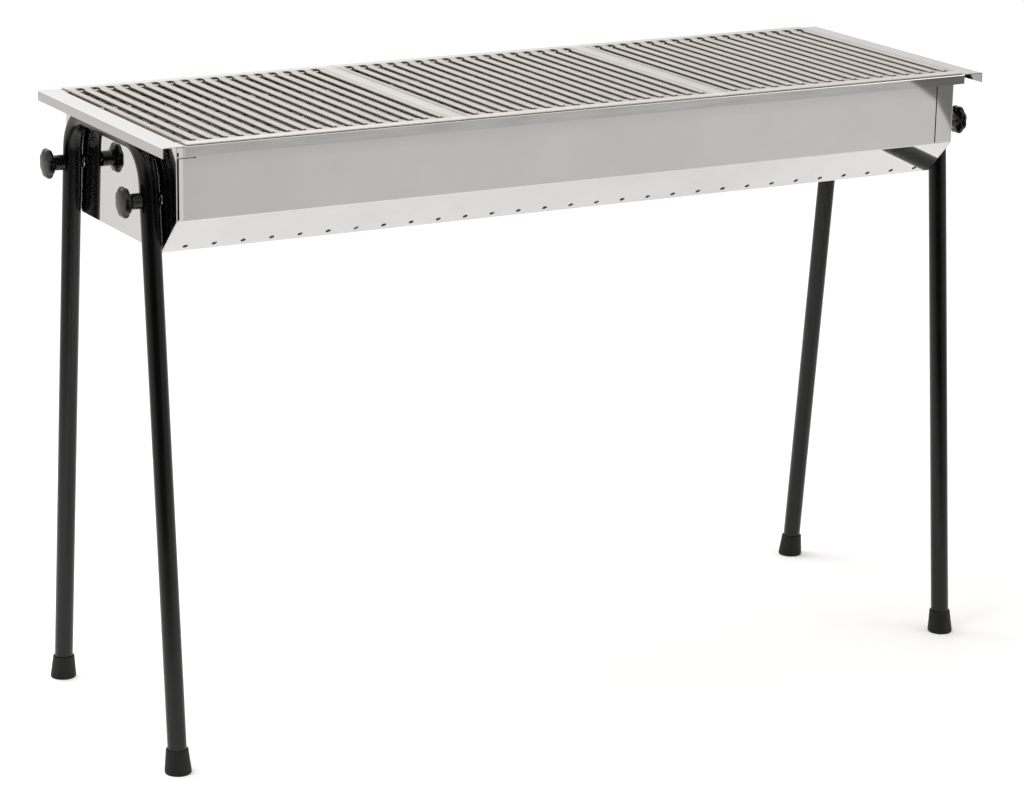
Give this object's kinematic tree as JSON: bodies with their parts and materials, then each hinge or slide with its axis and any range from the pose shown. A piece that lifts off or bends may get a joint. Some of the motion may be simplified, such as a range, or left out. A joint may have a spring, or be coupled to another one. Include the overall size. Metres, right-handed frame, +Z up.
{
  "type": "charcoal charbroiler grill",
  "caption": "Long free-standing stainless charcoal grill: folded trough with air holes, lift-off cooking grates, and two splayed bent-tube leg frames held on by clamp knobs.",
  "frame": {"origin": "on the floor, under the middle of the trough", "axes": "+X along the trough to the right as the cook sees it, +Y from the cook's side to the back, +Z up"},
  "size_m": [1.2886, 0.4292, 0.826],
  "materials": {
    "polished_steel": "bright polished sheet",
    "grate_steel": "satin",
    "plate_steel": "dull satin",
    "plated_steel": "zinc plated",
    "black_paint": "semi-gloss powder coat",
    "black_rubber": "matte",
    "black_plastic": "gloss"
  },
  "bodies": {
    "firebox": {"trough_shell": "polished_steel", "end_plate_left": "polished_steel", "end_plate_right": "polished_steel", "bridge_bar_left": "grate_steel", "bridge_bar_right": "grate_steel", "leg_frame_left": "black_paint", "foot_front_left": "black_rubber", "spacer_front_left": "plated_steel", "weld_nut_front_left": "plated_steel", "foot_rear_left": "black_rubber", "spacer_rear_left": "plated_steel", "weld_nut_rear_left": "plated_steel", "leg_frame_right": "black_paint", "foot_front_right": "black_rubber", "spacer_front_right": "plated_steel", "weld_nut_front_right": "plated_steel", "foot_rear_right": "black_rubber", "spacer_rear_right": "plated_steel", "weld_nut_rear_right": "plated_steel"},
    "cooking_grate_left": {"cooking_grate_left": "grate_steel"},
    "charcoal_plate_left": {"charcoal_plate_left": "plate_steel"},
    "cooking_grate_centre": {"cooking_grate_centre": "grate_steel"},
    "charcoal_plate_centre": {"charcoal_plate_centre": "plate_steel"},
    "cooking_grate_right": {"cooking_grate_right": "grate_steel"},
    "charcoal_plate_right": {"charcoal_plate_right": "plate_steel"},
    "stud_front_left": {"stud_front_left": "plated_steel"},
    "knob_front_left": {"knob_front_left": "black_plastic"},
    "stud_rear_left": {"stud_rear_left": "plated_steel"},
    "knob_rear_left": {"knob_rear_left": "black_plastic"},
    "stud_front_right": {"stud_front_right": "plated_steel"},
    "knob_front_right": {"knob_front_right": "black_plastic"},
    "stud_rear_right": {"stud_rear_right": "plated_steel"},
    "knob_rear_right": {"knob_rear_right": "black_plastic"}
  },
  "joints": [
    {"name": "cooking_grate_left_lift", "type": "slide", "parent": "firebox", "child": "cooking_grate_left", "axis": [0, 0, 1], "range_m": [0, 0.2]},
    {"name": "cooking_grate_centre_lift", "type": "slide", "parent": "firebox", "child": "cooking_grate_centre", "axis": [0, 0, 1], "range_m": [0, 0.2]},
    {"name": "cooking_grate_right_lift", "type": "slide", "parent": "firebox", "child": "cooking_grate_right", "axis": [0, 0, 1], "range_m": [0, 0.2]},
    {"name": "charcoal_plate_left_lift", "type": "slide", "parent": "firebox", "child": "charcoal_plate_left", "axis": [0, 0, 1], "range_m": [0, 0.08]},
    {"name": "charcoal_plate_centre_lift", "type": "slide", "parent": "firebox", "child": "charcoal_plate_centre", "axis": [0, 0, 1], "range_m": [0, 0.08]},
    {"name": "charcoal_plate_right_lift", "type": "slide", "parent": "firebox", "child": "charcoal_plate_right", "axis": [0, 0, 1], "range_m": [0, 0.08]},
    {"name": "stud_front_left_travel", "type": "slide", "parent": "firebox", "child": "stud_front_left", "axis": [-1, 0, 0], "range_m": [0, 0.0125]},
    {"name": "knob_front_left_turn", "type": "hinge", "parent": "stud_front_left", "child": "knob_front_left", "pos_m": [-0.6035, -0.12734, 0.742], "axis": [-1, 0, 0], "range_deg": [0, 3600]},
    {"name": "stud_rear_left_travel", "type": "slide", "parent": "firebox", "child": "stud_rear_left", "axis": [-1, 0, 0], "range_m": [0, 0.0125]},
    {"name": "knob_rear_left_turn", "type": "hinge", "parent": "stud_rear_left", "child": "knob_rear_left", "pos_m": [-0.6035, 0.12734, 0.742], "axis": [-1, 0, 0], "range_deg": [0, 3600]},
    {"name": "stud_front_right_travel", "type": "slide", "parent": "firebox", "child": "stud_front_right", "axis": [1, 0, 0], "range_m": [0, 0.0125]},
    {"name": "knob_front_right_turn", "type": "hinge", "parent": "stud_front_right", "child": "knob_front_right", "pos_m": [0.6035, -0.12734, 0.742], "axis": [1, 0, 0], "range_deg": [0, 3600]},
    {"name": "stud_rear_right_travel", "type": "slide", "parent": "firebox", "child": "stud_rear_right", "axis": [1, 0, 0], "range_m": [0, 0.0125]},
    {"name": "knob_rear_right_turn", "type": "hinge", "parent": "stud_rear_right", "child": "knob_rear_right", "pos_m": [0.6035, 0.12734, 0.742], "axis": [1, 0, 0], "range_deg": [0, 3600]}
  ],
  "couplings": [
    {"joint": "knob_front_left_turn", "follows": "stud_front_left_travel", "rad_per_m": 5026.5},
    {"joint": "knob_rear_left_turn", "follows": "stud_rear_left_travel", "rad_per_m": 5026.5},
    {"joint": "knob_front_right_turn", "follows": "stud_front_right_travel", "rad_per_m": 5026.5},
    {"joint": "knob_rear_right_turn", "follows": "stud_rear_right_travel", "rad_per_m": 5026.5}
  ]
}
